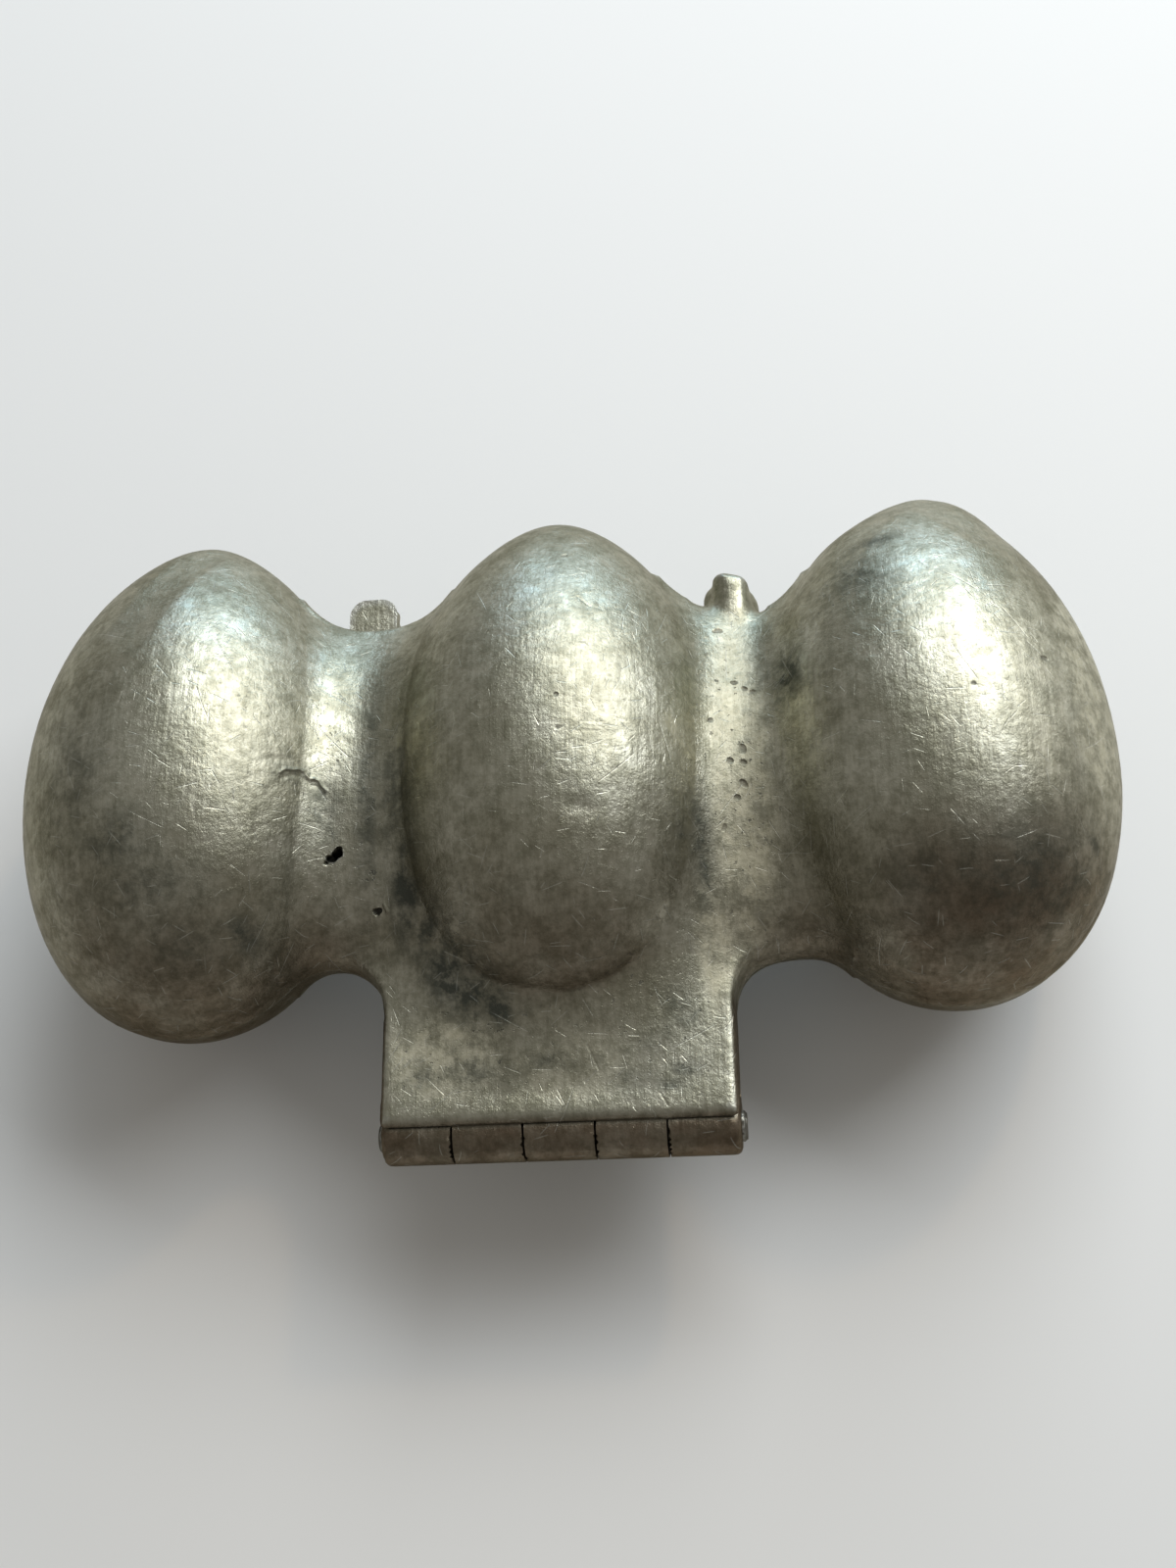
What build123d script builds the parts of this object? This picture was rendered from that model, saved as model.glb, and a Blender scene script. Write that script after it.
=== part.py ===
from build123d import *
import os

# A pewter ice cream mould for three eggs: two cast shells that close on a flat parting plane and turn
# on a pin at the eggs' big ends. Millimetres. While it is drawn, the parting plane is z = 0, the eggs
# are widest at y = 0, their tips point to +Y and the hinge is on the -Y side. The last lines move all of
# it so that it stands on z = 0 in the middle of its footprint.

# Eggs, measured on the outside of the casting
egg_radius = 20.5
egg_big_end = 29.4
egg_tip = 34.0
egg_pitch = 43.8
eggs = 3
wall = 2.6
big_end_fullness = (0.52, 0.66)
tip_fullness = (0.27, 0.64)

# Webs between the eggs
web_thickness = 4.1
web_top = 19.8
lower_valley_radius = 6.8
egg_blend_radius = 2.2
saddle_height = 9.4
saddle_start = -34.0
saddle_foot = (-20.0, 0.22)
edge_round = 1.0

# Hinge plate, barrel and pin
plate_width = 39.4
plate_end = -41.2
knuckles = 5
barrel_radius = 3.1
barrel_offset = 0.4
barrel_end_round = 0.8
knuckle_gap = 0.2
knuckle_clearance = 0.25
pin_radius = 1.1
pin_clearance = 0.05
pin_head_radius = 1.7
pin_head_length = 0.5
pin_head_bevel = 0.3

# Finger lugs
lug_width = 6.4
lug_height = 5.2
lug_shift = 0.5
lug_lap = 4.0
lug_thickness = 5.2
lug_corner = 2.2
lug_round = 1.6

# Parting faces and the lip that registers them
parting_gap = 0.1
lip_height = 0.8
lip_clearance = 0.15

# Worked out from the sizes above
outer_eggs = egg_pitch * (eggs - 1) / 2
lug_x = egg_pitch / 2 - lug_shift
hinge_y = plate_end - barrel_offset
reach = egg_pitch * eggs
egg_places = [(i - (eggs - 1) / 2) * egg_pitch for i in range(eggs)]


def egg_curves(inset=0.0, x=0.0, side=1):
    """One side of an egg's outline on the parting plane: big end to the widest place, then to the tip."""
    r = egg_radius - inset
    low = egg_big_end - inset
    high = egg_tip - inset
    big = Bezier(
        (x, -low),
        (x + side * big_end_fullness[0] * r, -low),
        (x + side * r, -big_end_fullness[1] * low),
        (x + side * r, 0),
    )
    tip = Bezier(
        (x + side * r, 0),
        (x + side * r, tip_fullness[1] * high),
        (x + side * tip_fullness[0] * r, high),
        (x, high),
    )
    return big, tip


def egg_solid(inset=0.0):
    """A whole egg turned about the Y axis, its seam on the underside."""
    big, tip = egg_curves(inset)
    axis_line = Line((0, egg_tip - inset), (0, inset - egg_big_end))
    profile = make_face([big, tip, axis_line])
    return revolve(profile.rotate(Axis.Y, 90), Axis.Y)


def solve(function, low, high):
    """The place between low and high where the function changes sign."""
    rising = function(high) > 0
    for _ in range(50):
        middle = (low + high) / 2
        if (function(middle) > 0) == rising:
            high = middle
        else:
            low = middle
    return (low + high) / 2


def top_valley():
    """The round valley between two tips: it touches both eggs and dips to the web's top edge."""
    edge = egg_curves()[1]

    def centre(radius):
        return Vertex(egg_pitch / 2, web_top + radius, 0)

    radius = solve(lambda r: r - edge.distance_to(centre(r)), 1.0, 4 * egg_radius)
    touch = edge.closest_points(centre(radius))[0]
    return radius, touch


def lower_valley():
    """The round valley between an outer egg and the plate: it touches the egg and the plate's side."""
    edge = egg_curves(x=egg_pitch, side=-1)[0]
    x = plate_width / 2 + lower_valley_radius

    def miss(y):
        return lower_valley_radius - edge.distance_to(Vertex(x, y, 0))

    y = solve(miss, -2 * egg_big_end, 0)
    touch = edge.closest_points(Vertex(x, y, 0))[0]
    return Vector(x, y), touch


valley_radius, valley_touch = top_valley()
lower_centre, lower_touch = lower_valley()
web_end = valley_touch.Y


def web_body():
    """Plate and webs as one slab whose top climbs to a saddle between the widest parts of the eggs."""
    foot_y, foot_share = saddle_foot
    foot_z = web_thickness + foot_share * (saddle_height - web_thickness)
    saddle = Spline(
        (saddle_start, web_thickness),
        (foot_y, foot_z),
        (0, saddle_height),
        (web_end, web_thickness),
        tangents=[(1, 0), (1, 0)],
    )
    outline = [
        Line((plate_end, 0), (plate_end, web_thickness)),
        Line((plate_end, web_thickness), (saddle_start, web_thickness)),
        saddle,
        Line((web_end, web_thickness), (web_end, 0)),
        Line((web_end, 0), (plate_end, 0)),
    ]
    slab = extrude(Plane.YZ * make_face(outline), outer_eggs, both=True)
    return slab & extrude(web_plan(), 2 * egg_radius)


def web_plan():
    """Plan of the slab. Under an outer egg it ends square to the egg's side, where the valley touches."""
    inward = (lower_touch - lower_centre).normalized()
    before = lower_centre - inward * lower_valley_radius / 2
    inside = lower_touch + inward * egg_radius / 2
    right = [
        (plate_width / 2, plate_end - 1),
        (plate_width / 2, lower_centre.Y),
        (before.X, before.Y),
        (inside.X, inside.Y),
        (outer_eggs, 0),
        (outer_eggs, web_end + 1),
    ]
    left = [(-x, y) for x, y in reversed(right)]
    return make_face(Polyline(*right, *left, close=True))


def on_an_egg(edge, domes):
    """True for an edge where the slab's top runs into an egg."""
    middle = edge.position_at(0.5)
    ends = edge.position_at(0), edge.position_at(1)
    flat = abs(ends[0].Y - ends[1].Y) < 0.01
    low = min(middle.Z, ends[0].Z, ends[1].Z) < web_thickness - 0.01
    if flat or low or edge.geom_type == GeomType.CIRCLE:
        return False
    return min(dome.distance_to(Vertex(middle)) for dome in domes) < 0.001


def valleys():
    """Plan centre and radius of each round valley: two between tips, two beside the plate."""
    found = []
    for side in (-1, 1):
        found.append((Vector(side * egg_pitch / 2, web_top + valley_radius), valley_radius))
        found.append((Vector(side * lower_centre.X, lower_centre.Y), lower_valley_radius))
    return found


def on_the_rim(edge):
    """True for an upper edge of the plate or of a valley's wall."""
    points = [edge.position_at(share) for share in (0, 0.25, 0.5, 0.75, 1)]
    if min(p.Z for p in points) < web_thickness / 2:
        return False
    on_end = all(abs(p.Y - plate_end) < 0.01 for p in points)
    on_side = all(abs(abs(p.X) - plate_width / 2) < 0.01 and p.Y < 0 for p in points)
    in_valley = any(
        all(abs((Vector(p.X, p.Y) - centre).length - radius) < 0.01 for p in points)
        for centre, radius in valleys()
    )
    return on_end or on_side or in_valley


def outside_shape():
    """The outer form of a half, without its knuckles and lug."""
    upper = Pos(0, 0, egg_radius) * Box(2 * reach, 2 * reach, 2 * egg_radius)
    dome = egg_solid() & upper
    domes = [Pos(x, 0, 0) * dome for x in egg_places]
    shape = web_body() + domes
    shape = fillet([e for e in shape.edges() if on_an_egg(e, domes)], egg_blend_radius)
    for centre, radius in valleys():
        shape -= Pos(centre.X, centre.Y, 0) * Cylinder(radius, 4 * egg_radius)
    return fillet([e for e in shape.edges() if on_the_rim(e)], edge_round)


def egg_plan(inset, x):
    """Plan of one egg, drawn in by the inset."""
    return make_face([*egg_curves(inset, x, 1), *egg_curves(inset, x, -1)])


def lug(side):
    """A finger lug: a rounded bar that stands out past the web's edge and laps onto the web."""
    low = web_top - lug_lap
    length = lug_lap + lug_height
    plan = Pos(0, low + length / 2) * RectangleRounded(lug_width, length, lug_corner)
    bar = extrude(plan, lug_thickness)
    bar = fillet(bar.faces().sort_by(Axis.Z)[-1].edges(), lug_round)
    return Pos(side * lug_x, 0, 0) * bar


def barrel(indices):
    """The knuckles at the given places along the hinge line, with the barrel's two ends rounded."""
    rods = []
    for index in indices:
        low, high = knuckle_span(index)
        rod = Pos((low + high) / 2, hinge_y, 0) * Cylinder(barrel_radius, high - low, rotation=(0, 90, 0))
        if index == 0:
            rod = fillet(rod.edges().sort_by(Axis.X)[0], barrel_end_round)
        if index == knuckles - 1:
            rod = fillet(rod.edges().sort_by(Axis.X)[-1], barrel_end_round)
        rods.append(rod)
    return rods


def knuckle_span(index):
    """Where a knuckle starts and stops along X. The outer two are flush with the plate's sides."""
    low = index * plate_width / knuckles - plate_width / 2
    high = low + plate_width / knuckles
    if index > 0:
        low += knuckle_gap / 2
    if index < knuckles - 1:
        high -= knuckle_gap / 2
    return low, high


def knuckle_room(indices):
    """Round notches that clear the other half's knuckles, right across the gaps beside them."""
    rods = []
    for index in indices:
        low, high = knuckle_span(index)
        length = high - low + 2 * knuckle_gap
        rod = Cylinder(barrel_radius + knuckle_clearance, length, rotation=(0, 90, 0))
        rods.append(Pos((low + high) / 2, hinge_y, 0) * rod)
    return rods


def cavity():
    """The room for one frozen egg half, drawn on straight down through the lip."""
    upper = Pos(0, 0, egg_radius) * Box(2 * reach, 2 * reach, 2 * egg_radius)
    return (egg_solid(wall) & upper) + extrude(egg_plan(wall, 0), -2 * lip_height)


def half(lug_side, own, other, has_lip):
    """One cast half, drawn with its eggs upwards. own and other are the knuckle places."""
    shape = outside_shape() + lug(lug_side)
    shape -= knuckle_room(other)
    shape -= Box(2 * reach, 4 * egg_tip, parting_gap)
    for x in egg_places:
        if has_lip:
            base = parting_gap / 2 - lip_height
            shape += Pos(0, 0, base) * extrude(egg_plan(wall / 2, x), 2 * lip_height)
        else:
            shape -= extrude(egg_plan(wall / 2 - lip_clearance, x), lip_height + lip_clearance)
    shape -= [Pos(x, 0, 0) * cavity() for x in egg_places]
    shape += barrel(own)
    bore = Cylinder(pin_radius + pin_clearance, 2 * plate_width, rotation=(0, 90, 0))
    return shape - Pos(0, hinge_y, 0) * bore


def hinge_pin():
    """The pin, with a low bevelled head on each end."""
    length = plate_width + 2 * pin_clearance
    pin = Cylinder(pin_radius, length)
    for side in (-1, 1):
        head = Cylinder(pin_head_radius, pin_head_length)
        head = chamfer(head.edges().sort_by(Axis.Z)[-1 if side > 0 else 0], pin_head_bevel)
        pin += Pos(0, 0, side * (length + pin_head_length) / 2) * head
    return Pos(0, hinge_y, 0) * Rot(0, 90, 0) * pin


odd = list(range(0, knuckles, 2))
even = list(range(1, knuckles, 2))

front_half = half(1, even, odd, False)
back_half = mirror(half(-1, odd, even, True), Plane.XY)
parts = {"front_half": front_half, "back_half": back_half, "hinge_pin": hinge_pin()}

# Stand the mould on its back eggs, in the middle of its footprint
y_middle = (egg_tip + hinge_y - barrel_radius) / 2
os.makedirs("parts", exist_ok=True)
for name, shape in parts.items():
    placed = Pos(0, -y_middle, egg_radius) * shape
    placed.label = name
    export_step(placed, f"parts/{name}.step")
    print(name, round(placed.volume), "mm3", placed.is_valid, len(placed.solids()), "solid")
print("hinge axis at y", round(hinge_y - y_middle, 3), "z", egg_radius)
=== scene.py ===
import math

import bmesh
import bpy
import numpy as np
from mathutils import Matrix, Vector, noise
from mathutils.bvhtree import BVHTree
from mathutils.kdtree import KDTree


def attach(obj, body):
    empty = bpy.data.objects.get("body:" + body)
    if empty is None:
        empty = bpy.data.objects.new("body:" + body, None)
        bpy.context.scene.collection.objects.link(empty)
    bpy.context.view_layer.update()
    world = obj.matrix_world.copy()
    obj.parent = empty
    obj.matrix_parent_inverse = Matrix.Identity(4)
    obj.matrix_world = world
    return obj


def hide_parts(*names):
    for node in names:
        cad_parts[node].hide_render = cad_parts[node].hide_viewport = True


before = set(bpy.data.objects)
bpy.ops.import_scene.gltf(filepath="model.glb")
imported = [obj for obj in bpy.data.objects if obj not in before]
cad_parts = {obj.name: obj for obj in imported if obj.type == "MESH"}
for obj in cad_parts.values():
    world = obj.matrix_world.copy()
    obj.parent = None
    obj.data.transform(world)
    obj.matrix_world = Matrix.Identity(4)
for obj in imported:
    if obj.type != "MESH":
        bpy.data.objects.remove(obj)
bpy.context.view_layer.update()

mm = 0.001

# Lengths in this file are in millimetres, and angles in degrees, unless a comment says otherwise

# The photograph's view, its focal length and long side in pixels
view_azimuth = 15.42
view_elevation = 66.72
view_roll = -17.40
view_distance = 219.72
view_target = (3.31, 4.90, 20.5)
view_focal_pixels = 1900
photo_long_side = 1600
sensor = 36.0

# The castings, as the CAD has them
egg_pitch = 43.8
egg_middle = 5.35
egg_radius = 20.5
egg_big_end = 29.4
egg_tip = 34.0
wall = 2.6
seam = 20.5
half_seam = 0.05
valley_x = 26.5
valley_y = -23.45
valley_radius = 6.8
shoulder_width = 4.6
hinge_y = -36.25
lug_x = 21.4
lug_thickness = 5.2
lug_flange = 1.5

# How fine the skins are
skin_size = 0.44
edge_snap = 0.25
pin_skin_size = 0.22
pin_edge_snap = 0.12
joined_within = 0.002
sharp_edge_angle = 38
spot_spacing = 0.08
cavity_thinning = 0.9
outside_thinning = 0.3
split_rounds = 3
finest_split = 0.13
shading_angle = 55

# How deep under the eggs' outside a corner may lie and still be on the outside of the casting,
# and how deep it lies where the cavities' finish starts
outside_depth = 0.9
cavity_depth = 1.0

# How softly the creases are filled
crease_passes = 600
settle_passes = 110

# How much closer the knuckles' ends and the parting faces are than in the CAD
knuckle_closing = 0.05
parting_closing = 0.04

# The right egg isn't cast quite parallel to the others
right_egg_turn = 3.3
right_egg_shift = -0.06
right_tip_shift = 2.0

# Each lug: its half (1 front, -1 back), its shifts in x and y, its flange's width as a share, its foot
lug_shapes = (
    (1, 0.3, -0.6, 1.22, 21.0),
    (-1, -1.9, 1.0, 0.93, 24.2),
)

# How high the web stands over the parting plane, at three places along y
web_places = (-28.6, -14.6, -9.0)
web_heights = (4.1, 5.3, 6.4)

# How far a corner lies from its neighbours' middle where the edge wear starts and where it is full, and
# likewise for the darkening of concave creases
worn_bends = (0.022, 0.07)
crease_bends = (0.010, 0.04)

# Shallow cast unevenness: depth and wavelength, and the place in the noise that it is taken from
waves = ((0.16, 17.0), (0.07, 7.0), (0.02, 2.2))
wave_seed = 3.7

# Long flats filed along the eggs' tips: x, y, the way that they run in degrees, half-length, depth
files = (
    (-45.4, 26.5, 70, 11.0, 0.35),
    (-40.8, 31.0, 112, 6.0, 0.16),
    (0.3, 29.0, 86, 6.0, 0.12),
    (48.5, 31.5, 128, 8.0, 0.24),
    (39.0, 31.5, 50, 8.0, 0.20),
)
# Dents: x, y, half-width, half-length, turn in degrees, depth
dents = (
    (-34.3, -16.5, 1.5, 1.1, 20, 0.16),
    (4.4, -5.3, 2.4, 1.0, -8, 0.20),
    (-25.2, -1.0, 1.4, 3.0, -12, 0.10),
    (-52.0, -8.0, 3.0, 4.0, 0, 0.10),
    (40.0, -12.0, 3.5, 3.0, 30, 0.10),
    (11.0, 12.0, 3.0, 4.0, 10, 0.08),
    (-21.5, 8.0, 2.4, 12.0, 0, 0.10),
    (21.9, 3.0, 2.6, 14.0, 0, 0.22),
)
# Ragged pits: x, y, half-width, half-length, turn in degrees, depth
pits = (
    (-24.6, -6.2, 1.15, 0.40, 36, 2.0),
    (-24.1, -5.7, 0.60, 0.45, 60, 1.6),
    (-19.9, -12.1, 0.45, 0.36, 0, 0.6),
    (2.3, 7.3, 0.22, 0.18, 0, 0.10),
    (2.3, 3.3, 0.22, 0.20, 0, 0.10),
    (2.4, 28.1, 0.40, 0.30, 0, 0.10),
    (19.7, 20.9, 0.60, 0.32, 10, 0.12),
    (18.6, 7.6, 0.34, 0.22, 50, 0.10),
    (21.4, 13.3, 0.40, 0.22, 20, 0.12),
    (22.5, 12.6, 0.30, 0.20, -30, 0.12),
    (23.4, 12.2, 0.40, 0.20, 10, 0.12),
    (21.9, 4.4, 0.30, 0.45, 0, 0.14),
    (20.5, 2.8, 0.32, 0.24, 0, 0.12),
    (21.9, 2.8, 0.26, 0.20, 0, 0.12),
    (21.7, 0.3, 0.45, 0.28, -50, 0.14),
    (21.0, -1.4, 0.30, 0.22, 20, 0.12),
    (19.5, -5.0, 0.40, 0.22, 70, 0.10),
    (55.3, 9.0, 0.40, 0.30, 0, 0.12),
    (46.9, 5.4, 0.26, 0.20, 0, 0.08),
)
# The cold fold left of the middle egg: the crest of its ridge, and the groove below it
fold_ridge = (
    (-29.7, 2.3), (-29.2, 2.9), (-28.6, 3.0), (-28.0, 3.3), (-27.5, 3.2), (-27.1, 2.5), (-26.6, 2.5)
)
fold_groove = (
    (-29.6, 1.6), (-28.7, 2.3), (-28.0, 2.5), (-27.4, 2.3), (-27.0, 1.7), (-26.2, 1.7), (-25.6, 0.8)
)
# Grooves and ridges: half-width, depth (a ridge is less than nothing), and their course
strokes = (
    (0.30, -0.12, fold_ridge),
    (0.26, -0.10, ((-26.6, 2.5), (-26.1, 2.4), (-25.8, 1.8), (-25.3, 1.3))),
    (0.24, 0.04, fold_groove),
    (0.50, 0.06, ((-31.0, 3.6), (-29.9, 3.9), (-28.9, 4.2))),
    (0.28, -0.14, ((-19.0, -11.5), (-18.7, -12.2))),
    (0.12, 0.05, ((4.9, 4.1), (7.2, 4.2))),
    (0.11, 0.04, ((5.3, 3.6), (7.5, 3.6))),
    (0.12, 0.05, ((4.7, 3.0), (6.9, 3.1))),
    (0.14, 0.06, ((4.4, 20.8), (5.1, 20.0), (5.8, 19.4))),
    (0.12, 0.04, ((3.5, -28.0), (4.6, -30.5))),
    (0.12, 0.04, ((11.2, -33.2), (12.0, -34.6))),
)

# Tarnish on the front casting, and one patch of painted shade: x, y, half-width, half-length, turn in
# degrees, strength
stains_and_shade = (
    (-16.3, -10.5, 1.8, 5.8, 0, 0.95),
    (-10.6, -20.6, 5.6, 2.9, -42, 1.0),
    (-7.0, -23.4, 3.0, 2.0, -20, 1.0),
    # Painted shade: darkens the right egg's lower side
    (50.0, -14.0, 9.0, 5.0, 0, 0.5),
    (-12.5, -18.0, 2.2, 3.5, -30, 0.6),
    (17.0, -7.5, 1.2, 6.0, 0, 0.75),
    (15.2, -6.2, 1.0, 0.9, 0, 0.7),
    (-25.2, -1.0, 1.8, 4.2, 0, 0.65),
    (-28.2, 3.0, 2.2, 1.6, 0, 0.5),
    (27.6, 13.0, 2.2, 3.2, 0, 0.8),
    (37.4, 22.4, 2.6, 3.4, 20, 0.55),
    (-34.0, -15.5, 1.8, 1.6, 0, 0.7),
    (-40.0, -17.0, 5.0, 2.5, 10, 0.35),
    (-9.0, -30.0, 4.0, 2.4, 0, 0.45),
    (8.5, -32.0, 2.5, 1.5, 0, 0.5),
    (14.0, -24.0, 2.0, 3.0, 20, 0.5),
    (11.5, -27.5, 3.5, 1.5, 30, 0.35),
    (40.0, -14.0, 5.0, 4.0, 0, 0.3),
    (-52.0, 2.0, 4.0, 7.0, 0, 0.35),
    (-46.3, -6.4, 4.5, 3.5, 0, 0.5),
    (-43.0, -11.0, 6.0, 4.0, 0, 0.4),
    (-17.5, 0.0, 2.4, 9.0, 0, 0.5),
    (-20.8, 2.0, 1.6, 13.0, 0, 0.6),
    (-14.2, -15.5, 2.0, 3.2, -20, 0.7),
    (-15.0, -31.0, 2.2, 1.2, 0, 0.6),
    (-10.0, -30.2, 1.2, 2.2, 20, 0.5),
    (-0.9, -29.5, 2.0, 1.0, 0, 0.45),
    (14.1, -30.6, 1.6, 0.9, 0, 0.8),
    (12.3, -32.4, 2.2, 0.7, 0, 0.6),
    (39.5, 27.5, 2.6, 1.3, 10, 0.6),
    (36.0, 22.0, 1.6, 3.2, 0, 0.5),
    (57.9, -10.5, 0.9, 0.8, 0, 0.7),
)
# Places rubbed clean of tarnish, listed in the same way as the stains
cleaned = (
    (21.6, 3.0, 3.4, 21.0, 0, 1.0),
    (18.0, -17.0, 2.2, 7.0, 0, 0.8),
    (-13.0, -28.5, 7.0, 4.5, 0, 0.7),
    (-32.0, 9.0, 5.0, 11.0, 0, 0.4),
    (2.0, -30.0, 7.0, 4.0, 0, 0.3),
    (6.0, 10.0, 5.0, 9.0, 0, 0.4),
    (54.0, 6.0, 3.5, 14.0, 0, 0.5),
    (60.5, 7.0, 3.5, 15.0, 0, 0.8),
)
# Speckled places: x, y, half-width, half-length
speckled = (
    (21.9, 0.0, 3.6, 18.0),
    (20.5, 12.0, 3.5, 5.0),
    (-25.0, 0.0, 3.0, 8.0),
    (-8.0, -28.5, 12.0, 5.0),
    (12.0, -26.0, 8.0, 8.0),
    (17.6, -6.0, 1.6, 12.0),
    (15.0, -20.0, 3.0, 5.0),
    (-21.0, -6.0, 2.0, 9.0),
    (36.0, 20.0, 3.0, 5.0),
)

# Area lights: where each hangs as seen from the mould, distance and size in metres, watts, colour
area_lights = {
    "soft_box": ((0.42, 0.60, 0.68), 0.8, (0.85, 0.5), 7.8, (0.90, 0.955, 1.0)),
    "window": ((0.15, 0.95, 0.25), 0.9, (0.8, 0.3), 2.8, (0.5, 0.75, 1.0)),
    "lamp": ((0.42, 0.61, 0.67), 0.75, (0.05, 0.05), 0.35, (1.0, 0.66, 0.30)),
}
# The place that they all look at, in metres
lights_aim = (0, 0, 0.03)
world_colour = (1.0, 0.975, 0.92, 1)
world_strength = 0.31

# The floor: half of its side, in metres, its colour and its roughness
floor_half = 3.0
floor_colour = (0.72, 0.71, 0.69)
floor_roughness = 0.7


def add_camera():
    """The camera looks from in front of the hinge and a little from the right, turned in its frame."""
    azimuth = math.radians(view_azimuth)
    elevation = math.radians(view_elevation)
    back = Vector(
        (
            math.sin(azimuth) * math.cos(elevation),
            -math.cos(azimuth) * math.cos(elevation),
            math.sin(elevation),
        )
    )
    right = Vector((0, 0, 1)).cross(back).normalized()
    up = back.cross(right)
    turn = Matrix((right, up, back)).transposed() @ Matrix.Rotation(math.radians(view_roll), 3, "Z")
    data = bpy.data.cameras.new("camera")
    data.sensor_width = sensor
    data.lens = view_focal_pixels / photo_long_side * sensor
    data.clip_start = 0.01
    data.clip_end = 10.0
    camera = bpy.data.objects.new("camera", data)
    place = (Vector(view_target) + back * view_distance) * mm
    camera.matrix_world = Matrix.Translation(place) @ turn.to_4x4()
    bpy.context.scene.collection.objects.link(camera)
    bpy.context.scene.camera = camera


# Reading and moving a skin's corners


def points_of(mesh):
    """The corners' places, one row each."""
    flat = np.empty(len(mesh.vertices) * 3)
    mesh.vertices.foreach_get("co", flat)
    return flat.reshape(-1, 3) / mm


def normals_of(mesh):
    """The way that the skin faces at each corner."""
    flat = np.empty(len(mesh.vertices) * 3)
    mesh.vertices.foreach_get("normal", flat)
    return flat.reshape(-1, 3)


def move_points(mesh, points):
    """Puts the corners at new places."""
    mesh.vertices.foreach_set("co", (points * mm).ravel())
    mesh.update()


def ease(value, low, high):
    """0 below low, 1 above high, and a smooth climb between them."""
    share = np.clip((value - low) / (high - low), 0, 1)
    return share * share * (3 - 2 * share)


def curve(a, b, c, d):
    """Points along a Bezier curve."""
    t = np.linspace(0, 1, 120)[:, None]
    a, b, c, d = (np.array(p, float) for p in (a, b, c, d))
    return (1 - t) ** 3 * a + 3 * (1 - t) ** 2 * t * b + 3 * (1 - t) * t**2 * c + t**3 * d


# Half of an egg's outside, from its big end over its widest place to its tip
big_end_curve = ((0, -egg_big_end), (10.66, -egg_big_end), (egg_radius, -19.4), (egg_radius, 0))
tip_curve = ((egg_radius, 0), (egg_radius, 21.76), (5.54, egg_tip), (0, egg_tip))
outline = np.vstack((curve(*big_end_curve), curve(*tip_curve)[1:]))
# A width that stands for no egg, and the steepest slope that counts, near the ends
no_egg = -9
steepest = 12


def egg_depth(points):
    """How deep each point lies under the outside of the nearest egg."""
    across = points[:, 0] - egg_pitch * np.clip(np.round(points[:, 0] / egg_pitch), -1, 1)
    along = points[:, 1] - egg_middle
    width = np.interp(along, outline[:, 1], outline[:, 0], left=no_egg, right=no_egg)
    slope = np.gradient(outline[:, 0], outline[:, 1] + np.linspace(0, 1e-6, len(outline)))
    slope = np.interp(along, outline[:, 1], np.clip(slope, -steepest, steepest))
    return (width - np.hypot(across, points[:, 2] - seam)) / np.hypot(1, slope)


# The castings' skins


def joined_skin(node):
    """A CAD node's triangles, joined into one closed skin."""
    skin = bmesh.new()
    skin.from_mesh(node.data)
    bmesh.ops.remove_doubles(skin, verts=skin.verts, dist=joined_within * mm)
    return skin


def tree_of(spots):
    """A search tree that finds the nearest of the spots."""
    tree = KDTree(len(spots))
    for i, spot in enumerate(spots):
        tree.insert(spot, i)
    tree.balance()
    return tree


def sharp_lines(skin):
    """Spots along every sharp edge of a skin."""
    spots = []
    for edge in skin.edges:
        if len(edge.link_faces) == 2 and edge.calc_face_angle(0) > math.radians(sharp_edge_angle):
            a, b = (corner.co for corner in edge.verts)
            count = max(1, round((b - a).length / (spot_spacing * mm)))
            spots.extend(a.lerp(b, i / count) for i in range(count + 1))
    return tree_of(spots)


def changed_mesh(mesh, kind, free=None, **settings):
    """The mesh after one modifier, which may be held to the corners that are free to change."""
    holder = bpy.data.objects.new("holder", mesh)
    bpy.context.scene.collection.objects.link(holder)
    modifier = holder.modifiers.new("change", kind)
    for key, value in settings.items():
        setattr(modifier, key, value)
    if free is not None:
        holder.vertex_groups.clear()
        group = holder.vertex_groups.new(name="free")
        group.add([int(i) for i in np.nonzero(free)[0]], 1.0, "REPLACE")
        modifier.vertex_group = "free"
    ready = holder.evaluated_get(bpy.context.evaluated_depsgraph_get())
    result = bpy.data.meshes.new_from_object(ready)
    bpy.data.objects.remove(holder)
    return result


def even_skin(node, size=skin_size, snap=edge_snap):
    """A piece's skin in even quads whose corners lie on the CAD surface and on its sharp edges."""
    skin = joined_skin(node)
    surface = BVHTree.FromBMesh(skin)
    lines = sharp_lines(skin)
    mesh = bpy.data.meshes.new("joined")
    skin.to_mesh(mesh)
    skin.free()
    mesh = changed_mesh(mesh, "REMESH", mode="VOXEL", voxel_size=size * mm)
    places = []
    for corner in mesh.vertices:
        spot = surface.find_nearest(corner.co)[0]
        edge, _, gap = lines.find(spot)
        places.append(edge if gap < snap * mm else spot)
    move_points(mesh, np.array(places) / mm)
    return mesh


def thinned(mesh):
    """The skin with larger faces in its cavities, and somewhat larger ones on its eggs' outside."""
    inside = egg_depth(points_of(mesh)) > wall / 2 + 0.4
    mesh = changed_mesh(mesh, "DECIMATE", free=inside, ratio=1 - cavity_thinning * inside.mean())
    points = points_of(mesh)
    outside = (abs(egg_depth(points)) < 0.3) & (abs(points[:, 2] - seam) > 2.0)
    return changed_mesh(mesh, "DECIMATE", free=outside, ratio=1 - outside_thinning * outside.mean())


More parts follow.
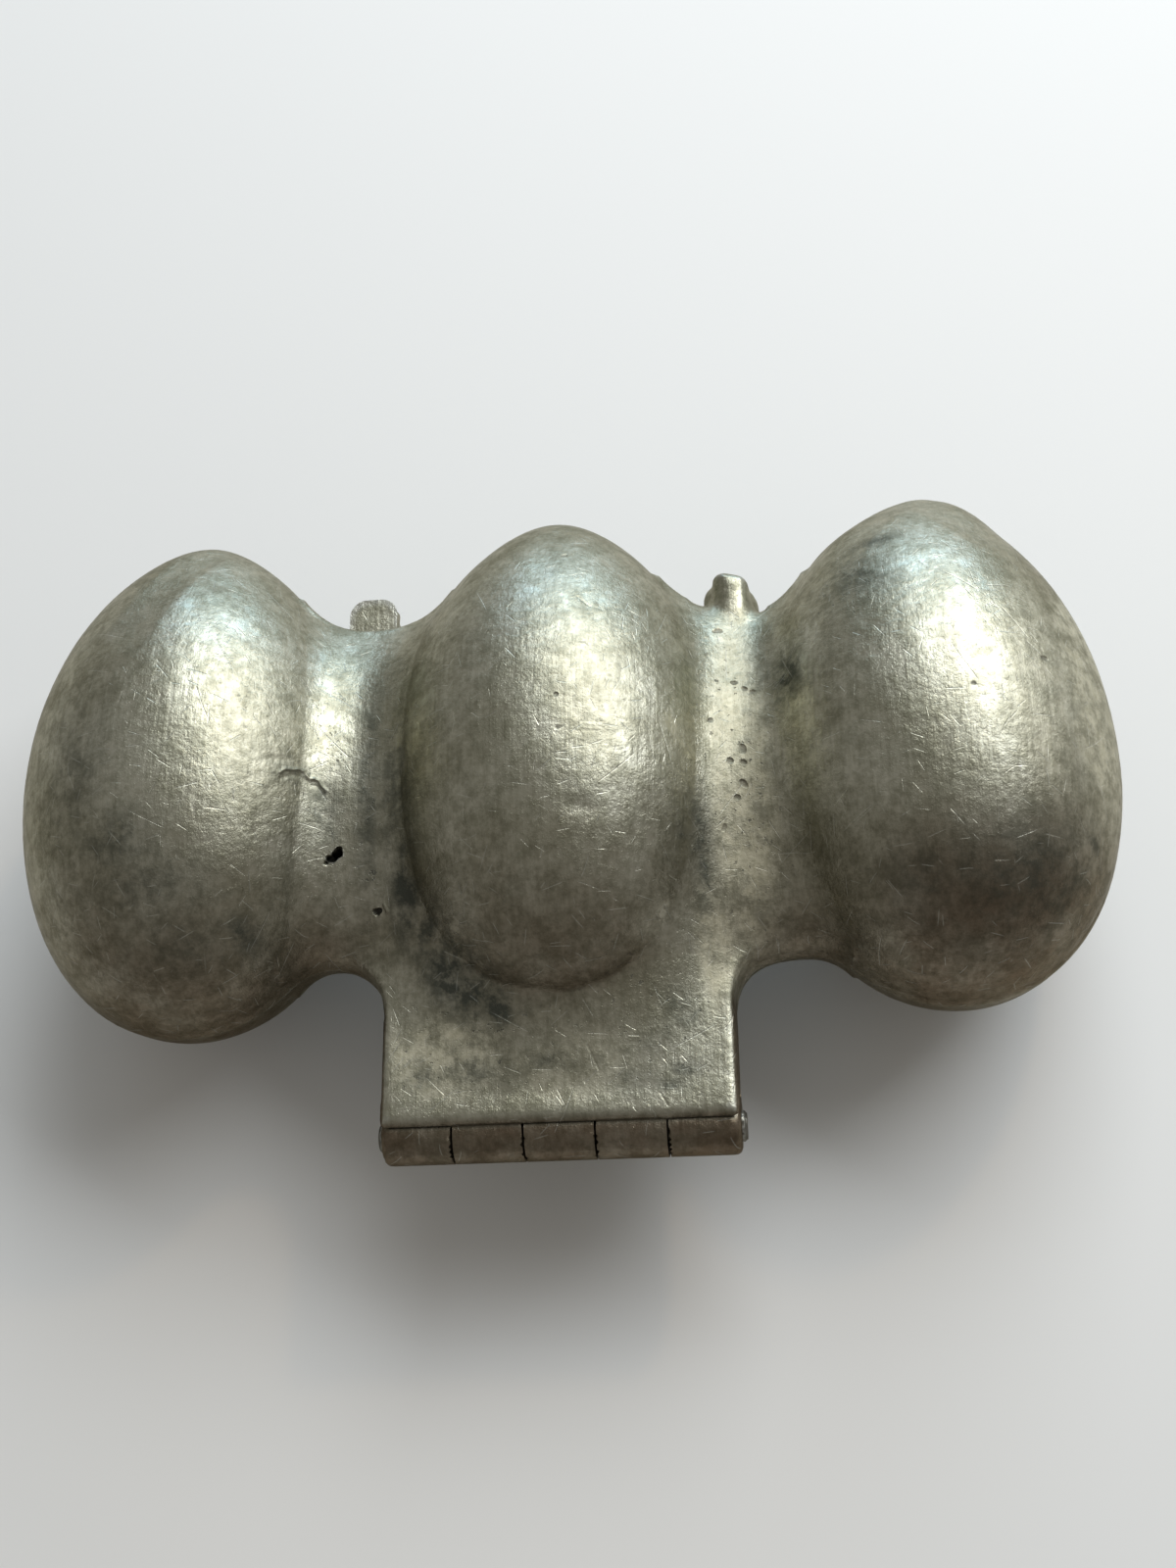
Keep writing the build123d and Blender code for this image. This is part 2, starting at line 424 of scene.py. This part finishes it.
def spots_on(mesh, places):
    """The points of the skin straight below the given places."""
    skin = bmesh.new()
    skin.from_mesh(mesh)
    surface = BVHTree.FromBMesh(skin)
    skin.free()
    found = []
    for x, y in places:
        hit = surface.ray_cast(Vector((x, y, 60)) * mm, Vector((0, 0, -1)))[0]
        found.append(np.array(hit) / mm)
    return np.array(found)


def course(path, step=0.1):
    """Even places along a broken line."""
    places = []
    for (ax, ay), (bx, by) in zip(path, path[1:]):
        count = max(1, round(math.hypot(bx - ax, by - ay) / step))
        places += [(ax + (bx - ax) * i / count, ay + (by - ay) * i / count) for i in range(count)]
    return places + [path[-1]]


def split_near(mesh, spots, reach, target):
    """Splits the edges near each spot until they are short enough for fine work."""
    tree = tree_of(spots)
    skin = bmesh.new()
    skin.from_mesh(mesh)
    shortest = min(target) * mm
    for _ in range(split_rounds):
        long_edges = []
        for edge in skin.edges:
            a, b = edge.verts
            length = (a.co - b.co).length
            if length < shortest:
                continue
            _, i, gap = tree.find((a.co + b.co) / 2 / mm)
            if gap < reach[i] and length > target[i] * mm:
                long_edges.append(edge)
        bmesh.ops.subdivide_edges(skin, edges=long_edges, cuts=1)
        bmesh.ops.triangulate(skin, faces=[f for f in skin.faces if len(f.verts) > 4])
    skin.to_mesh(mesh)
    skin.free()


def nearest_gap(points, spots):
    """Distance from each point to the nearest spot, and only within 3 mm of the box round the spots."""
    reach, far = 3, 99.0
    low, high = spots.min(0) - reach, spots.max(0) + reach
    gap = np.full(len(points), far)
    near = np.nonzero(((points > low) & (points < high)).all(1))[0]
    if len(near):
        away = points[near][:, None, :] - spots[None, :, :]
        gap[near] = np.sqrt((away**2).sum(2)).min(1)
    return gap


def oval(points, spot, half_width, half_length, turn):
    """Distance from a spot as a share of an oval's size, seen from above."""
    a = math.radians(turn)
    dx, dy = points[:, 0] - spot[0], points[:, 1] - spot[1]
    along = dx * math.cos(a) + dy * math.sin(a)
    across = -dx * math.sin(a) + dy * math.cos(a)
    return np.hypot(along / half_width, across / half_length)


def outer_side(points, normals, upward):
    """True on the outside of the casting, on the side that its eggs bulge to."""
    return (egg_depth(points) < outside_depth) & (normals[:, 2] * upward > 0.05)


def cast_waves(points, normals, seed):
    """Sinks the skin unevenly, as a casting is. The seam and the hinge stay true."""
    calm = ease(abs(points[:, 2] - seam), 0.1, 1.2)
    calm *= 1 - 0.8 * ease(hinge_y + 5.0 - points[:, 1], 0, 3.0)
    sink = np.zeros(len(points))
    for depth, length in waves:
        places = points / length + seed
        values = np.array([noise.noise(p) for p in places.tolist()])
        sink += depth * (np.clip(values * 1.4, -1, 1) - 1) / 2
    return points + normals * (sink * calm)[:, None]


def round_shoulders(points):
    """Rounds the web down to the seam in the valleys beside the hinge plate."""
    points = points.copy()
    height = abs(points[:, 2] - seam)
    straight = 0.5
    web_top = np.interp(points[:, 1], web_places, web_heights)
    for x in (-valley_x, valley_x):
        out_x, out_y = points[:, 0] - x, points[:, 1] - valley_y
        far = np.hypot(out_x, out_y)
        in_edge = (far - valley_radius - shoulder_width) / shoulder_width
        rise = (height - straight) / (web_top - straight)
        beyond = np.hypot(in_edge, rise)
        near = (in_edge < 0) & (rise > 0) & (beyond > 1) & (out_y > 0)
        free = ease(-egg_depth(points), 0.0, 1.2) * ease(out_y, 0, 9) * ease(-in_edge, 0, 0.5) * near
        shrink = free * (1 / np.maximum(beyond, 1) - 1)
        points[:, 0] += out_x / far * shoulder_width * in_edge * shrink
        points[:, 1] += out_y / far * shoulder_width * in_edge * shrink
        points[:, 2] += np.sign(points[:, 2] - seam) * (height - straight) * shrink
    return points


def neighbours(mesh):
    """A function that gives, for each corner, the mean of the values at its neighbours."""
    pairs = np.empty(len(mesh.edges) * 2, dtype=np.int64)
    mesh.edges.foreach_get("vertices", pairs)
    a, b = pairs.reshape(-1, 2).T
    ends, others = np.concatenate((a, b)), np.concatenate((b, a))
    size = len(mesh.vertices)
    count = np.maximum(np.bincount(ends, minlength=size), 1)

    def mean(values):
        return np.bincount(ends, weights=values[others], minlength=size) / count

    return mean


def soften(points, mean, share, passes):
    """Draws each corner again and again towards the middle of its neighbours."""
    for _ in range(passes):
        for i in range(3):
            points[:, i] += share * (mean(points[:, i]) - points[:, i])


def crease_share(points):
    """How freely each corner may flow: not in the cavities, the seam, the hinge or the plate's sides,
    hardly at the lugs, and less between the middle egg and the right one."""
    x, y, height = abs(points[:, 0]), points[:, 1], abs(points[:, 2] - seam)
    lug_gap = np.hypot(x - lug_x, np.clip(27.5 - y, 0, None))
    share = 0.9 * (egg_depth(points) < outside_depth) * ease(height, 0.8, 2.5)
    share *= ease(y - hinge_y, 3.5, 7.0) * (0.1 + 0.9 * ease(lug_gap, 3.4, 5.0))
    share *= 1 - 0.6 * ease(points[:, 0], 8, 22) * ease(y, -16, -6)
    share *= 1 - ease(x, 15.5, 18.0) * ease(-y, 20, 24) * (x < 21.5)
    return share


def fill_creases(mesh):
    """Fills the creases between the eggs and the web with metal, then settles what it laid."""
    points, normals = points_of(mesh), normals_of(mesh)
    mean = neighbours(mesh)
    share = crease_share(points)
    soft = points.copy()
    soften(soft, mean, share, crease_passes)
    rise = ((soft - points) * normals).sum(1)
    points += (soft - points) * ease(rise, -0.4, 0.4)[:, None]
    soften(points, mean, 0.7 * (share * ease(rise, -0.6, -0.2)), settle_passes)
    move_points(mesh, points)


def file_flats(points, normals):
    """Files long flats along the eggs' tips."""
    for x, y, turn, half_length, depth in files:
        a = math.radians(turn)
        dx, dy = points[:, 0] - x, points[:, 1] - y
        along = dx * math.cos(a) + dy * math.sin(a)
        across = dy * math.cos(a) - dx * math.sin(a)
        cut = np.clip(depth - across**2 / 25, 0, None)
        cut *= 1 - ease(abs(along), 0.6 * half_length, half_length)
        points = points - normals * cut[:, None]
    return points


def shape_lugs(points):
    """Makes each lug a round-topped bar on a thin flange, and shifts it to its place in the photograph."""
    points = points.copy()
    height = abs(points[:, 2] - seam)
    over_flange = ease(height, lug_flange, lug_flange + 0.5)
    for side, shift_x, shift_y, flange, foot in lug_shapes:
        dx = points[:, 0] - side * lug_x
        own = (points[:, 2] - seam) * side > 0
        near = own * (1 - ease(abs(dx), 3.9, 5.4)) * ease(points[:, 1], foot - 0.5, foot + 2.0)
        bar = near * (abs(dx) < 3.8) * (points[:, 1] > foot)
        rise = np.clip(height - lug_flange, 0, None) / (lug_thickness - lug_flange)
        beyond = np.maximum((abs(dx / 2.9) ** 2.6 + rise**2.6) ** (1 / 2.6), 1)
        shrink = bar * over_flange * (1 / beyond - 1)
        grow = bar * (flange - 1) * (1 - over_flange)
        points[:, 0] += dx * (shrink + grow) + near * shift_x
        points[:, 2] += side * np.clip(height - lug_flange, 0, None) * shrink
        points[:, 1] += near * shift_y
    return points


def close_gaps(points, normals):
    """Sets the hinge's knuckles and the parting faces as close as they look on the old casting."""
    ends = (points[:, 1] < hinge_y + 3.3) & (abs(normals[:, 0]) > 0.8)
    points[:, 0] += knuckle_closing * np.sign(normals[:, 0]) * ends
    parting = abs(abs(points[:, 2] - seam) - half_seam) < 0.02
    points[:, 2] -= parting_closing * np.sign(points[:, 2] - seam) * parting
    return points


def turn_right_egg(points):
    """Turns the right-hand egg a little and draws its tip outwards."""
    share = ease(points[:, 0], 19.5, 27.0)
    a = math.radians(right_egg_turn)
    dx, dy = points[:, 0] - egg_pitch, points[:, 1] - egg_middle
    points[:, 0] += share * (dx * (math.cos(a) - 1) - dy * math.sin(a))
    points[:, 1] += share * (dx * math.sin(a) + dy * (math.cos(a) - 1))
    points[:, 0] += share * (right_tip_shift * ease(points[:, 1], 30, 39) + right_egg_shift)
    return points


def bends(mesh):
    """How far each corner stands out of (above 0) or lies in (below 0) the middle of its neighbours."""
    mean = neighbours(mesh)
    points = points_of(mesh)
    middle = np.stack([mean(points[:, i]) for i in range(3)], 1)
    bend = ((points - middle) * normals_of(mesh)).sum(1)
    for _ in range(2):
        bend = (bend + mean(bend)) / 2
    return bend


def keep(mesh, name, values):
    """Stores one number a corner, for the materials."""
    layer = mesh.attributes.new(name, "FLOAT", "POINT")
    layer.data.foreach_set("value", np.clip(values, 0, 1).astype(np.float32))


def bell(share):
    """1 in the middle of an oval, and softly less outwards."""
    return np.exp(-(share**2))


def flat_patch(share):
    """1 over most of an oval, and 0 a little outside it."""
    return 1 - ease(share, 0.6, 1.3)


def marks(points, side, rows, fade):
    """The strongest mark at each corner, where each one fades out over its oval."""
    strongest = np.zeros(len(points))
    for x, y, half_width, half_length, turn, strength in rows:
        share = oval(points, (side * x, y), half_width, half_length, side * turn)
        strongest = np.maximum(strongest, strength * fade(share))
    return strongest


def painted_brown_mask(points, normals, outside, side):
    """Painted brownish reflection and shade: low on the right egg, under the eggs, on the plate's sides
    and on the barrel.
    """
    x, y = points[:, 0], points[:, 1]
    # Painted shade on the right egg's lower side
    low_side = ease(side * x, 28, 40) * ease(-y, 2, 18) * outside
    # Painted brownish reflection on faces turned towards the hinge
    under = 0.85 * ease(-normals[:, 1], 0, 1) * ease(-y, -20, -12)
    # Painted shade on the plate's side walls
    edge = ease(abs(x), 19.1, 19.5) * ease(-y, 21, 24) * (abs(x) < 21)
    # Painted brownish reflection on the barrel's knuckles
    barrel = ease(hinge_y + 0.5 - y, -0.3, 0.4)
    return np.maximum.reduce((low_side, under, edge, barrel))


def pressed(mesh, mirrored=False):
    """Dents, filed flats and the casting's waves, where its outside has tarnished, and where shade and a
    brownish reflection are painted on.
    """
    side = -1 if mirrored else 1
    points, normals = points_of(mesh), normals_of(mesh)
    outside = outer_side(points, normals, side)
    sink = np.zeros(len(points))
    for x, y, half_width, half_length, turn, depth in dents:
        share = oval(points, (side * x, y), half_width, half_length, side * turn)
        sink += depth * np.exp(-(share**2) * 1.5)
    points -= normals * (sink * outside)[:, None]
    if not mirrored:
        points = np.where(outside[:, None], file_flats(points, normals), points)
    move_points(mesh, cast_waves(points, normals, wave_seed * side))
    upright_specks = [(*row, 0, 1.0) for row in speckled]
    # Stains, and the painted shade on the right egg's lower side
    keep(mesh, "stain_and_shade", marks(points, side, stains_and_shade, bell) * outside)
    keep(mesh, "clean", marks(points, side, cleaned, flat_patch) * outside)
    keep(mesh, "specks", marks(points, side, upright_specks, bell) * outside)
    # Painted brownish reflection and shade, stored for the materials
    keep(mesh, "painted_brown", painted_brown_mask(points, normals, outside, side))


def flowing_skin(node):
    """A casting's skin with its shoulders, lugs and creases worn soft."""
    mesh = thinned(even_skin(node))
    move_points(mesh, close_gaps(points_of(mesh), normals_of(mesh)))
    move_points(mesh, shape_lugs(round_shoulders(points_of(mesh))))
    fill_creases(mesh)
    return mesh


def split_for_marks(mesh):
    """Splits the skin where the pits, grooves and ridges come."""
    fine = []
    for x, y, half_width, half_length, _, _ in pits:
        reach = max(half_width, half_length) * 1.6 + 0.3
        fine.append((spots_on(mesh, [(x, y)]), reach, half_length / 2.2))
    for width, _, path in strokes:
        fine.append((spots_on(mesh, course(path)), width * 1.8 + 0.2, width / 1.6))
    spots = np.vstack([found for found, _, _ in fine])
    reach = np.concatenate([np.full(len(found), far) for found, far, _ in fine])
    target = np.concatenate([np.full(len(found), max(size, finest_split)) for found, _, size in fine])
    split_near(mesh, spots, reach, target)


def front_casting(node):
    """The front half, with the pits, the cold fold and the nicks that the photograph shows."""
    mesh = flowing_skin(node)
    split_for_marks(mesh)
    points, normals = points_of(mesh), normals_of(mesh)
    outside = outer_side(points, normals, 1)
    hollow = np.zeros(len(points))
    sink = np.zeros(len(points))
    for x, y, half_width, half_length, turn, depth in pits:
        share = oval(points, (x, y), half_width, half_length, turn)
        near = np.nonzero(share < 2.5)[0]
        ragged = np.array([noise.noise(p) for p in (points[near] * 1.9).tolist()])
        shape = 1 - ease(share[near] + 0.55 * ragged, 0.55, 1.15)
        sink[near] += depth * shape
        hollow[near] += shape * min(1.0, 0.3 + depth)
    for width, depth, path in strokes:
        gap = nearest_gap(points, spots_on(mesh, course(path)))
        sink += depth * np.exp(-((gap / width) ** 2) * 1.4)
    points -= normals * (sink * outside)[:, None]
    move_points(mesh, points)
    keep(mesh, "hollow", hollow * outside)
    pressed(mesh)
    return mesh


def back_casting(node):
    """The back half, worn as the front's mirror image, because nothing shows how it looks."""
    mesh = flowing_skin(node)
    pressed(mesh, mirrored=True)
    return mesh


def finish_casting(mesh, name, node_name, body, materials):
    """Wear along convex edges, darkening in concave creases, a finish for each side, and its place in the
    frame.
    """
    bend = bends(mesh)
    keep(mesh, "worn", ease(bend, *worn_bends))
    keep(mesh, "crease", ease(-bend, *crease_bends))
    for material in materials:
        mesh.materials.append(material)
    inside = egg_depth(points_of(mesh)) > cavity_depth
    corners = np.empty(len(mesh.loops), dtype=np.int64)
    mesh.loops.foreach_get("vertex_index", corners)
    starts = np.empty(len(mesh.polygons), dtype=np.int64)
    mesh.polygons.foreach_get("loop_start", starts)
    mesh.polygons.foreach_set("material_index", inside[corners[starts]].astype(np.int32))
    mesh.polygons.foreach_set("use_smooth", np.ones(len(starts), dtype=bool))
    move_points(mesh, turn_right_egg(points_of(mesh)))
    mesh.set_sharp_from_angle(angle=math.radians(shading_angle))
    mesh.name = name
    piece = bpy.data.objects.new(name, mesh)
    bpy.context.scene.collection.objects.link(piece)
    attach(piece, body)
    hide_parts(node_name)
    mesh.calc_loop_triangles()
    print(name, len(mesh.loop_triangles), "triangles")


# Finishes


def make(tree, kind, inputs=None, **settings):
    """Adds a node to a tree, sets it up, and sets or joins its inputs."""
    node = tree.nodes.new(kind)
    for key, value in settings.items():
        setattr(node, key, value)
    for key, value in (inputs or {}).items():
        if isinstance(value, bpy.types.NodeSocket):
            tree.links.new(value, node.inputs[key])
        else:
            node.inputs[key].default_value = value
    return node


def calc(tree, operation, a, b=0.0, clamp=False):
    """The result of one step of arithmetic."""
    return make(tree, "ShaderNodeMath", {0: a, 1: b}, operation=operation, use_clamp=clamp).outputs[0]


def times(tree, a, b, clamp=False):
    """One value times another."""
    return calc(tree, "MULTIPLY", a, b, clamp)


def add_up(tree, start, parts):
    """A value plus each part times its amount."""
    for part, amount in parts:
        start = calc(tree, "ADD", start, times(tree, part, amount))
    return start


def vector_calc(tree, operation, a, b=(0, 0, 0)):
    """The outputs of one step of vector arithmetic."""
    return make(tree, "ShaderNodeVectorMath", {0: a, 1: b}, operation=operation).outputs


def step_up(tree, value, low, high):
    """0 below low, 1 above high, smooth between them."""
    return make(
        tree,
        "ShaderNodeMapRange",
        {"Value": value, "From Min": low, "From Max": high},
        interpolation_type="SMOOTHSTEP",
    ).outputs["Result"]


def blend_colour(tree, share, a, b, kind="MIX"):
    """Colour a, and b in its place or laid over it by a share."""
    a = a if isinstance(a, bpy.types.NodeSocket) else (*a, 1)
    b = b if isinstance(b, bpy.types.NodeSocket) else (*b, 1)
    node = make(tree, "ShaderNodeMix", {0: share, 6: a, 7: b}, data_type="RGBA", blend_type=kind)
    return node.outputs[2]


def new_group(name, inputs, outputs):
    """An empty shader group with float inputs and outputs."""
    group = bpy.data.node_groups.new(name, "ShaderNodeTree")
    for label, value in inputs.items():
        socket = group.interface.new_socket(label, in_out="INPUT", socket_type="NodeSocketFloat")
        socket.default_value = value
    for label in outputs:
        group.interface.new_socket(label, in_out="OUTPUT", socket_type="NodeSocketFloat")
    given = group.nodes.new("NodeGroupInput")
    result = group.nodes.new("NodeGroupOutput")
    return group, given.outputs, result.inputs


def scaled_place(tree, size, turn=(0, 0, 0), stretch=(1, 1, 1)):
    """Object coordinates in units of size millimetres, turned and stretched."""
    place = make(tree, "ShaderNodeTexCoord").outputs["Object"]
    turned = make(tree, "ShaderNodeMapping", {"Vector": place, "Rotation": turn, "Scale": stretch})
    units = calc(tree, "DIVIDE", 1 / mm, size)
    return make(
        tree, "ShaderNodeVectorMath", {0: turned.outputs[0], "Scale": units}, operation="SCALE"
    ).outputs["Vector"]


def cloud(tree, size, detail=4.0, rough=0.55, **where):
    """Soft noise from 0 to 1 whose lumps are about size millimetres."""
    place = scaled_place(tree, size, **where)
    return make(
        tree,
        "ShaderNodeTexNoise",
        {"Vector": place, "Scale": 1.0, "Detail": detail, "Roughness": rough},
    ).outputs[0]


def tarnish_group():
    """Patches, mottling and specks of tarnish on old pewter."""
    group, given, result = new_group(
        "pewter tarnish",
        {"Patch Size": 13.0, "Mottle Size": 2.4, "Speck Size": 0.75},
        ("Patches", "Mottle", "Specks"),
    )
    patches = cloud(group, given["Patch Size"], 5.0, 0.66)
    group.links.new(step_up(group, patches, 0.36, 0.66), result["Patches"])
    mottle = cloud(group, given["Mottle Size"], 6.0, 0.72)
    group.links.new(step_up(group, mottle, 0.36, 0.66), result["Mottle"])
    specks = cloud(group, given["Speck Size"], 3.0, 0.7)
    group.links.new(step_up(group, specks, 0.62, 0.70), result["Specks"])
    return group


def straight_scratches(tree, size, width, share):
    """Short straight scratches that run every way: each cell of a pattern is cut by one plane."""
    place = scaled_place(tree, size)
    voronoi = {"Vector": place, "Scale": 1.0}
    cells = make(tree, "ShaderNodeTexVoronoi", voronoi, voronoi_dimensions="3D").outputs
    local = vector_calc(tree, "SUBTRACT", place, cells["Position"])["Vector"]
    way = vector_calc(tree, "SUBTRACT", cells["Color"], (0.5, 0.5, 0.5))["Vector"]
    way = vector_calc(tree, "NORMALIZE", way)["Vector"]
    off = vector_calc(tree, "DOT_PRODUCT", local, way)["Value"]
    skin = make(tree, "ShaderNodeTexCoord").outputs["Normal"]
    lean = vector_calc(tree, "DOT_PRODUCT", skin, way)["Value"]
    steep = calc(tree, "SUBTRACT", 1.0, times(tree, lean, lean))
    away = calc(tree, "DIVIDE", calc(tree, "ABSOLUTE", off), calc(tree, "SQRT", steep))
    line = step_up(tree, away, width / size, 0.0)
    ends = step_up(tree, cells["Distance"], 0.46, 0.30)
    chance = make(tree, "ShaderNodeSeparateColor", {0: cells["Color"]}).outputs[0]
    kept = calc(tree, "LESS_THAN", chance, share)
    return times(tree, times(tree, line, ends), kept)


def wear_group():
    """Short scratches that run every way, polishing lines along the eggs, and the metal's grain."""
    group, given, result = new_group(
        "hand wear", {"Line Size": 0.45, "Grain Size": 0.9}, ("Scratches", "Lines", "Grain")
    )
    scratches = straight_scratches(group, 1.9, 0.09, 0.6)
    for size, width, share in ((3.1, 0.10, 0.6), (6.5, 0.10, 0.35)):
        scratches = calc(group, "MAXIMUM", scratches, straight_scratches(group, size, width, share))
    group.links.new(scratches, result["Scratches"])
    lines = cloud(group, given["Line Size"], 3.0, 0.6, stretch=(1, 0.035, 0.5))
    group.links.new(step_up(group, lines, 0.3, 0.7), result["Lines"])
    group.links.new(cloud(group, given["Grain Size"], 4.0, 0.7), result["Grain"])
    return group


def layer(tree, name):
    """What the skin's corners hold under a name."""
    return make(tree, "ShaderNodeAttribute", attribute_name=name).outputs["Fac"]


def pewter(name, tarnish, wear, light, olive, khaki, painted_brown, dark, roughness, texture):
    """Old cast pewter: a grey metal under olive tarnish and painted brownish reflection and shade, black
    in pits, bright on edges.
    """
    material = bpy.data.materials.new(name)
    material.use_nodes = True
    tree = material.node_tree
    shader = tree.nodes["Principled BSDF"]
    shader.inputs["Specular Tint"].default_value = (0.62, 0.58, 0.5, 1)
    age = make(tree, "ShaderNodeGroup", node_tree=tarnish).outputs
    hand = make(tree, "ShaderNodeGroup", node_tree=wear).outputs

    clean = times(tree, layer(tree, "clean"), calc(tree, "SUBTRACT", 1.25, age["Mottle"]), True)
    bright = calc(tree, "MAXIMUM", times(tree, age["Patches"], 0.75), clean)
    colour = blend_colour(tree, bright, olive, light)
    colour = blend_colour(tree, clean, colour, khaki)
    # Painted brownish reflection and shade, a little less where the tarnish patches lie
    unpatched = calc(tree, "SUBTRACT", 1.0, times(tree, age["Patches"], 0.25))
    painted_brown_share = times(tree, layer(tree, "painted_brown"), unpatched)
    colour = blend_colour(tree, painted_brown_share, colour, painted_brown)
    fine = step_up(tree, hand["Grain"], 0.42, 0.62)
    for shade, amount, tone in (
        (age["Mottle"], 0.62, (0.48, 0.48, 0.43)),
        (fine, 0.5, (0.62, 0.62, 0.57)),
        (hand["Lines"], 0.35, (0.55, 0.55, 0.5)),
    ):
        colour = blend_colour(tree, times(tree, shade, amount), colour, tone, "MULTIPLY")
    # Dark stains, and a patch of painted shade low on the right egg
    stain_and_shade = times(tree, layer(tree, "stain_and_shade"), calc(tree, "ADD", age["Mottle"], 0.55), True)
    colour = blend_colour(tree, times(tree, stain_and_shade, 0.9), colour, dark)
    specks = times(tree, age["Specks"], calc(tree, "ADD", layer(tree, "specks"), 0.3), True)
    # Darker in the pits, and a little darker in concave creases
    pit_crease_dark = calc(tree, "MAXIMUM", layer(tree, "hollow"), times(tree, layer(tree, "crease"), 0.25))
    black = calc(tree, "MAXIMUM", times(tree, specks, 0.7), pit_crease_dark)
    colour = blend_colour(tree, black, colour, (0.025, 0.025, 0.022))
    # Edges show less wear where the brownish reflection and shade are painted
    bare = calc(tree, "SUBTRACT", 0.65, layer(tree, "painted_brown"))
    worn = times(tree, layer(tree, "worn"), bare, True)
    shine = calc(tree, "MAXIMUM", worn, times(tree, hand["Scratches"], 0.28))
    colour = blend_colour(tree, shine, colour, (0.56, 0.56, 0.51))
    tree.links.new(colour, shader.inputs["Base Color"])

    dull = ((age["Mottle"], 0.12), (black, 0.35), (stain_and_shade, 0.12), (clean, 0.22), (shine, -0.08))
    tree.links.new(add_up(tree, roughness, dull), shader.inputs["Roughness"])
    tree.links.new(add_up(tree, 0.92, ((black, -0.7), (clean, -0.4))), shader.inputs["Metallic"])

    height = add_up(tree, 0.0, (
        (hand["Grain"], 0.065 * texture),
        (age["Mottle"], 0.035 * texture),
        (hand["Lines"], 0.012 * texture),
        (hand["Scratches"], -0.022 * texture),
        (specks, -0.03),
    ))
    bump = make(tree, "ShaderNodeBump", {"Height": height, "Distance": mm, "Strength": 1.0})
    tree.links.new(bump.outputs["Normal"], shader.inputs["Normal"])
    return material


# The floor and the lights


def add_floor():
    """A plain pale floor under the mould."""
    material = bpy.data.materials.new("pale_floor")
    material.use_nodes = True
    shader = material.node_tree.nodes["Principled BSDF"]
    shader.inputs["Base Color"].default_value = (*floor_colour, 1)
    shader.inputs["Roughness"].default_value = floor_roughness
    mesh = bpy.data.meshes.new("floor")
    corners = [(x * floor_half, y * floor_half, 0) for x, y in ((-1, -1), (1, -1), (1, 1), (-1, 1))]
    mesh.from_pydata(corners, [], [(0, 1, 2, 3)])
    mesh.materials.append(material)
    floor = bpy.data.objects.new("floor", mesh)
    bpy.context.scene.collection.objects.link(floor)


def add_area_light(name, way, distance, size, power, colour):
    """A soft light that hangs a way off from the mould and looks at it."""
    data = bpy.data.lights.new(name, "AREA")
    data.shape = "RECTANGLE"
    data.size = size[0]
    data.size_y = size[1]
    data.energy = power
    data.color = colour
    light = bpy.data.objects.new(name, data)
    aim = Vector(lights_aim)
    place = aim + Vector(way).normalized() * distance
    light.location = place
    light.rotation_euler = (aim - place).to_track_quat("-Z", "Y").to_euler()
    bpy.context.scene.collection.objects.link(light)


def add_lights():
    """An even pale surround, a large soft light, a cool window and a small warm lamp."""
    world = bpy.data.worlds.new("world")
    world.use_nodes = True
    background = world.node_tree.nodes["Background"]
    background.inputs["Color"].default_value = world_colour
    background.inputs["Strength"].default_value = world_strength
    bpy.context.scene.world = world
    for name, numbers in area_lights.items():
        add_area_light(name, *numbers)


add_camera()
add_floor()
add_lights()
tarnish = tarnish_group()
wear = wear_group()
# In each finish, the colour given after khaki is the painted brownish reflection and shade
outside_pewter = pewter(
    "aged_pewter", tarnish, wear,
    light=(0.57, 0.555, 0.465), olive=(0.37, 0.356, 0.275), khaki=(0.51, 0.478, 0.36),
    painted_brown=(0.155, 0.115, 0.08), dark=(0.055, 0.06, 0.05),
    roughness=0.30, texture=1.0,
)
cavity_pewter = pewter(
    "cavity_pewter", tarnish, wear,
    light=(0.48, 0.48, 0.46), olive=(0.37, 0.37, 0.33), khaki=(0.46, 0.45, 0.41),
    painted_brown=(0.34, 0.32, 0.28), dark=(0.14, 0.14, 0.13),
    roughness=0.32, texture=0.4,
)
pin_steel = pewter(
    "dull_pin_steel", tarnish, wear,
    light=(0.26, 0.25, 0.23), olive=(0.18, 0.17, 0.15), khaki=(0.24, 0.22, 0.19),
    painted_brown=(0.12, 0.08, 0.05), dark=(0.05, 0.05, 0.05),
    roughness=0.40, texture=0.4,
)
finish_casting(
    front_casting(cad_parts["front_half"]),
    "front_casting", "front_half", "front", (outside_pewter, cavity_pewter),
)
finish_casting(
    back_casting(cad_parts["back_half"]),
    "back_casting", "back_half", "back", (outside_pewter, cavity_pewter),
)
finish_casting(
    even_skin(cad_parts["hinge_pin"], pin_skin_size, pin_edge_snap),
    "steel_pin", "hinge_pin", "back", (pin_steel,),
)

bpy.context.scene.view_settings.view_transform = "Standard"
